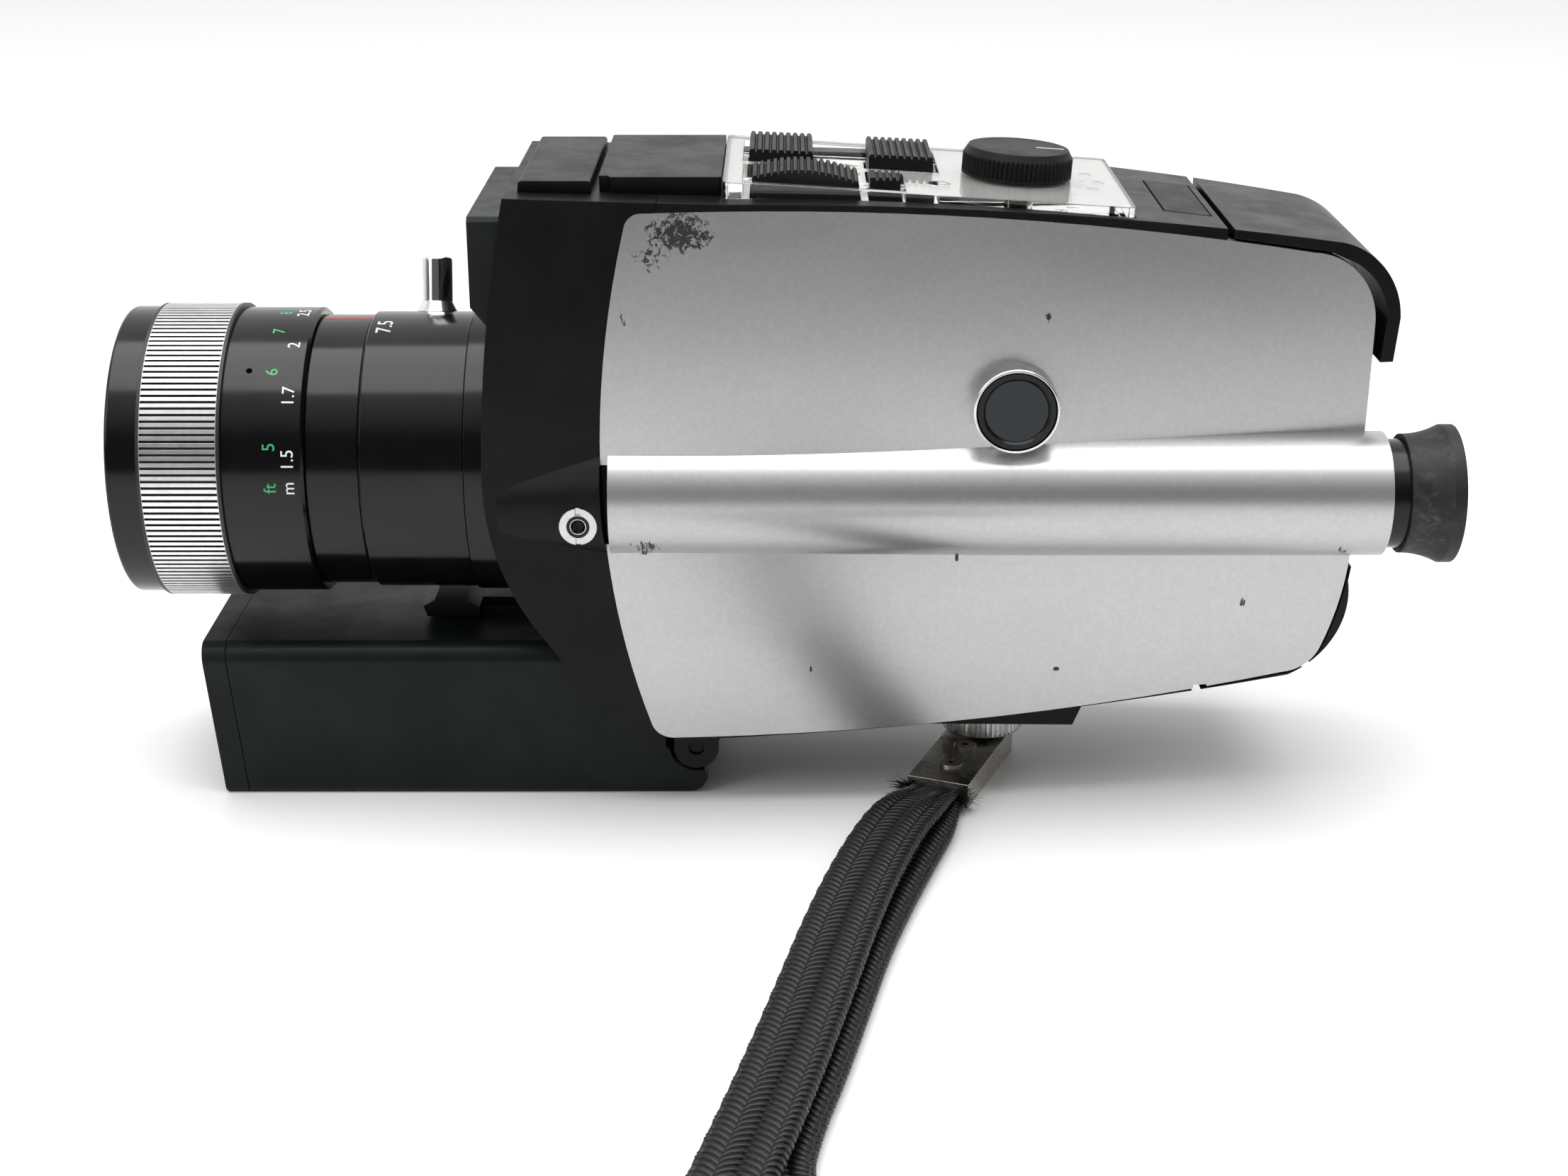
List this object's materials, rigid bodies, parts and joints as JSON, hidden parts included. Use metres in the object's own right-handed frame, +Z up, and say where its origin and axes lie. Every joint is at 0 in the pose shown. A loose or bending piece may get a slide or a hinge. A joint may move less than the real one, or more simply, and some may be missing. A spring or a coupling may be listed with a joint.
{
  "type": "cine camera",
  "caption": "Hand-held cine camera with zoom lens, silver side panels, folding battery grip, clear-covered top controls, rubber eyecup, rear film door and braided wrist strap",
  "frame": {"origin": "on the flat underside of the folded battery grip, the face that the camera stands on, straight below the lens axis", "axes": "+X from the lens to the rear along the lens axis, +Y to the camera's right-hand side, +Z up"},
  "size_m": [0.2414, 0.2667, 0.1195],
  "materials": {
    "black_paint": "satin black paint on die-cast metal",
    "silver_paint": "satin silver paint with bright edges",
    "black_anodised": "black anodised aluminium with white and green marks",
    "bright_knurl": "bright turned aluminium, knurled",
    "chrome": "polished chrome plate",
    "nickel": "worn nickel plate",
    "steel": "turned steel",
    "black_plastic": "fine-grained black plastic",
    "gloss_black": "glossy black plastic",
    "clear_plastic": "clear acrylic",
    "card": "cream printed card",
    "lens_glass": "coated optical glass",
    "eyecup_rubber": "worn black rubber with pale mottling",
    "dial_print": "black dial with white marks",
    "board": "green circuit board",
    "cell": "battery cell jacket",
    "webbing": "flat black herringbone braid"
  },
  "bodies": {
    "camera": {"front_housing": "black_paint", "left_frame": "black_plastic", "right_frame": "black_plastic", "left_panel": "silver_paint", "right_panel": "silver_paint", "panel_screws": "steel", "top_cover": "black_paint", "bottom_cover": "black_paint", "base_plate": "black_paint", "tripod_bush": "steel", "hinge_block": "black_paint", "window_block": "black_paint", "accessory_front": "black_paint", "accessory_rear": "black_paint", "control_card": "card", "control_plate": "clear_plastic", "lens_tube": "black_anodised", "index_ring": "black_anodised", "fixed_lenses": "lens_glass", "iris_unit": "black_plastic", "prisms": "lens_glass", "finder_tube": "black_plastic", "counter_bezel": "bright_knurl", "counter_glass": "lens_glass", "remote_jack": "chrome", "drive_motor": "steel", "gate_plate": "steel", "chamber_walls": "black_plastic", "circuit_board": "board", "grip_pin": "steel", "door_hinge_pin": "steel"},
    "focus_barrel": {"front_ring": "black_anodised", "focus_ring": "bright_knurl", "distance_ring": "black_anodised", "front_lens": "lens_glass"},
    "zoom_barrel": {"zoom_ring": "black_anodised", "zoom_lever": "chrome"},
    "variator_group": {"variator": "steel"},
    "trigger_bar": {"trigger": "black_plastic"},
    "forward_button": {"forward_key": "black_plastic"},
    "reverse_button": {"reverse_key": "black_plastic"},
    "rocker": {"zoom_rocker": "black_plastic"},
    "slider": {"speed_slide": "black_plastic"},
    "dial": {"mode_dial": "black_plastic"},
    "door_button": {"door_key": "black_plastic"},
    "rear_door": {"film_door": "black_paint"},
    "eyepiece_unit": {"eyepiece": "gloss_black", "eyepiece_lens": "lens_glass", "eyecup": "eyecup_rubber"},
    "counter_disc": {"counter_dial": "dial_print"},
    "motor_shaft": {"motor_pinion": "steel"},
    "shutter_unit": {"shutter": "steel"},
    "spindle": {"take_up_spindle": "black_plastic"},
    "grip": {"grip_shell": "black_paint", "battery_cells": "cell"},
    "grip_cap": {"battery_cap": "black_paint"},
    "screw": {"strap_screw": "nickel"},
    "clip": {"strap_clip": "nickel", "clip_rivets": "nickel", "strap": "webbing"}
  },
  "joints": [
    {"name": "focus_turn", "type": "hinge", "parent": "camera", "child": "focus_barrel", "pos_m": [-0.05, 0, 0.0615], "axis": [1, 0, 0], "range_deg": [-77, 113]},
    {"name": "zoom_turn", "type": "hinge", "parent": "camera", "child": "zoom_barrel", "pos_m": [-0.007, 0, 0.0615], "axis": [1, 0, 0], "range_deg": [-12.75, 85.1]},
    {"name": "variator_slide", "type": "slide", "parent": "camera", "child": "variator_group", "axis": [1, 0, 0], "range_m": [-0.00133, 0.0089]},
    {"name": "trigger_pull", "type": "slide", "parent": "camera", "child": "trigger_bar", "axis": [1, 0, 0], "range_m": [0, 0.003], "stiffness_N_per_m": 300, "springref_m": -0.002},
    {"name": "forward_press", "type": "slide", "parent": "camera", "child": "forward_button", "axis": [0, 0, -1], "range_m": [0, 0.0015], "stiffness_N_per_m": 400, "springref_m": -0.001},
    {"name": "reverse_press", "type": "slide", "parent": "camera", "child": "reverse_button", "axis": [0, 0, -1], "range_m": [0, 0.0015], "stiffness_N_per_m": 400, "springref_m": -0.001},
    {"name": "rocker_tilt", "type": "hinge", "parent": "camera", "child": "rocker", "pos_m": [0.06375, 0, 0.1141], "axis": [0, 1, 0], "range_deg": [-5, 5], "stiffness_Nm_per_rad": 0.05},
    {"name": "speed_select", "type": "slide", "parent": "camera", "child": "slider", "axis": [0, -1, 0], "range_m": [0, 0.0055]},
    {"name": "dial_turn", "type": "hinge", "parent": "camera", "child": "dial", "pos_m": [0.1023, 0, 0.11393], "axis": [0.0625, 0, 0.998], "range_deg": [-50, 50]},
    {"name": "door_key_press", "type": "slide", "parent": "camera", "child": "door_button", "axis": [0, 0, -1], "range_m": [0, 0.0015], "stiffness_N_per_m": 400, "springref_m": -0.001},
    {"name": "door_swing", "type": "hinge", "parent": "camera", "child": "rear_door", "pos_m": [0.1376, 0, 0.0236], "axis": [0, 1, 0], "range_deg": [0, 80]},
    {"name": "eyepiece_turn", "type": "hinge", "parent": "camera", "child": "eyepiece_unit", "pos_m": [0.165, -0.0265, 0.0615], "axis": [1, 0, 0], "range_deg": [-120, 120]},
    {"name": "shutter_spin", "type": "hinge", "parent": "camera", "child": "shutter_unit", "pos_m": [0.072, 0.007, 0.046], "axis": [1, 0, 0], "continuous": true},
    {"name": "motor_spin", "type": "hinge", "parent": "camera", "child": "motor_shaft", "pos_m": [0.069, -0.0093, 0.041], "axis": [1, 0, 0], "continuous": true},
    {"name": "spindle_spin", "type": "hinge", "parent": "camera", "child": "spindle", "pos_m": [0.122, -0.008, 0.0825], "axis": [0, 1, 0], "continuous": true},
    {"name": "counter_turn", "type": "hinge", "parent": "camera", "child": "counter_disc", "pos_m": [0.1005, -0.028, 0.0793], "axis": [0, 1, 0], "continuous": true},
    {"name": "grip_fold", "type": "hinge", "parent": "camera", "child": "grip", "pos_m": [0.0435, 0, 0.01], "axis": [0, -1, 0], "range_deg": [0, 90]},
    {"name": "cap_swing", "type": "hinge", "parent": "grip", "child": "grip_cap", "pos_m": [-0.0439, 0.0242, 0.0155], "axis": [0, 0, -1], "range_deg": [0, 100]},
    {"name": "screw_turn", "type": "hinge", "parent": "camera", "child": "screw", "pos_m": [0.099, -0.002, 0.0085], "axis": [0, 0, 1], "continuous": true},
    {"name": "clip_swivel", "type": "hinge", "parent": "camera", "child": "clip", "pos_m": [0.099, -0.002, 0.0025], "axis": [0, 0, 1], "range_deg": [-25, 25]}
  ],
  "couplings": [
    {"joint": "zoom_turn", "follows": "variator_slide", "rad_per_m": 166.67},
    {"joint": "motor_spin", "follows": "shutter_spin", "ratio": -2.5},
    {"joint": "spindle_spin", "follows": "shutter_spin", "ratio": 0.1},
    {"joint": "counter_turn", "follows": "shutter_spin", "ratio": 0.02}
  ]
}
